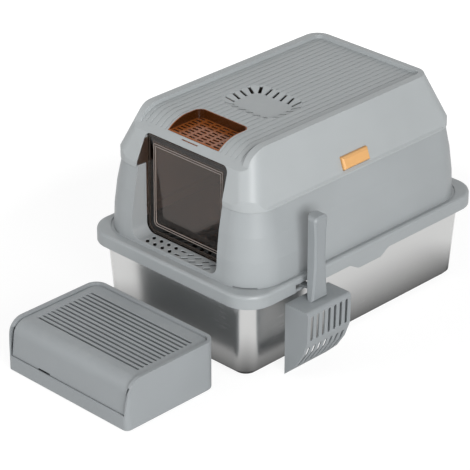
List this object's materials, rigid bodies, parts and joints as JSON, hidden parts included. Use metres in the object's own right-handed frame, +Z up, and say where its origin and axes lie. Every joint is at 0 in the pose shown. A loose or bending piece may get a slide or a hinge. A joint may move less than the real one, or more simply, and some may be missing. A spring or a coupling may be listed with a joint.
{
  "type": "hooded litter box",
  "caption": "Hooded cat litter box: deep steel pan, clip-on fence and hood with a smoked flap door, roof vent and basket, hanging scoop and a slotted entry step.",
  "frame": {"origin": "middle of the steel pan's flat underside, on the floor", "axes": "+Z up, -Y out of the entrance towards the step, +X towards the side where the scoop hangs"},
  "size_m": [0.4668, 0.8448, 0.41],
  "materials": {
    "stainless": "fine brushed",
    "grey_plastic": "satin moulded",
    "amber_plastic": "clear amber",
    "smoked_plastic": "clear smoked brown",
    "orange_plastic": "satin moulded",
    "rubber": "matt"
  },
  "bodies": {
    "pan": {"steel_pan": "stainless"},
    "fence": {"lower_fence": "grey_plastic"},
    "hood": {"upper_hood": "grey_plastic"},
    "basket": {"roof_basket": "amber_plastic"},
    "door": {"flap_door": "smoked_plastic"},
    "latch_left": {"latch_left": "orange_plastic"},
    "latch_right": {"latch_right": "orange_plastic"},
    "scoop": {"scoop_head": "grey_plastic", "scoop_handle": "grey_plastic", "scoop_handle_cover": "grey_plastic"},
    "step": {"step_base": "grey_plastic", "step_feet": "rubber"},
    "lid": {"step_lid": "grey_plastic"}
  },
  "joints": [
    {"name": "fence_lift", "type": "slide", "parent": "pan", "child": "fence", "axis": [0, 0, 1], "range_m": [0, 0.05]},
    {"name": "hood_lift", "type": "slide", "parent": "fence", "child": "hood", "axis": [0, 0, 1], "range_m": [0, 0.06]},
    {"name": "door_swing", "type": "hinge", "parent": "hood", "child": "door", "pos_m": [0, -0.24353, 0.368], "axis": [1, 0, 0], "range_deg": [-75, 75]},
    {"name": "basket_lift", "type": "slide", "parent": "hood", "child": "basket", "axis": [0, 0, 1], "range_m": [0, 0.04]},
    {"name": "latch_left_press", "type": "hinge", "parent": "hood", "child": "latch_left", "pos_m": [-0.15408, -0.005, 0.35], "axis": [0, -1, 0], "range_deg": [0, 7], "stiffness_Nm_per_rad": 0.5},
    {"name": "latch_right_press", "type": "hinge", "parent": "hood", "child": "latch_right", "pos_m": [0.15408, -0.005, 0.35], "axis": [0, 1, 0], "range_deg": [0, 7], "stiffness_Nm_per_rad": 0.5},
    {"name": "scoop_unhook", "type": "slide", "parent": "fence", "child": "scoop", "axis": [0, 0, 1], "range_m": [0, 0.006]},
    {"name": "step_move", "type": "slide", "parent": "pan", "child": "step", "axis": [0, -1, 0], "range_m": [0, 0.3]},
    {"name": "lid_lift", "type": "slide", "parent": "step", "child": "lid", "axis": [0, 0, 1], "range_m": [0, 0.1]}
  ]
}
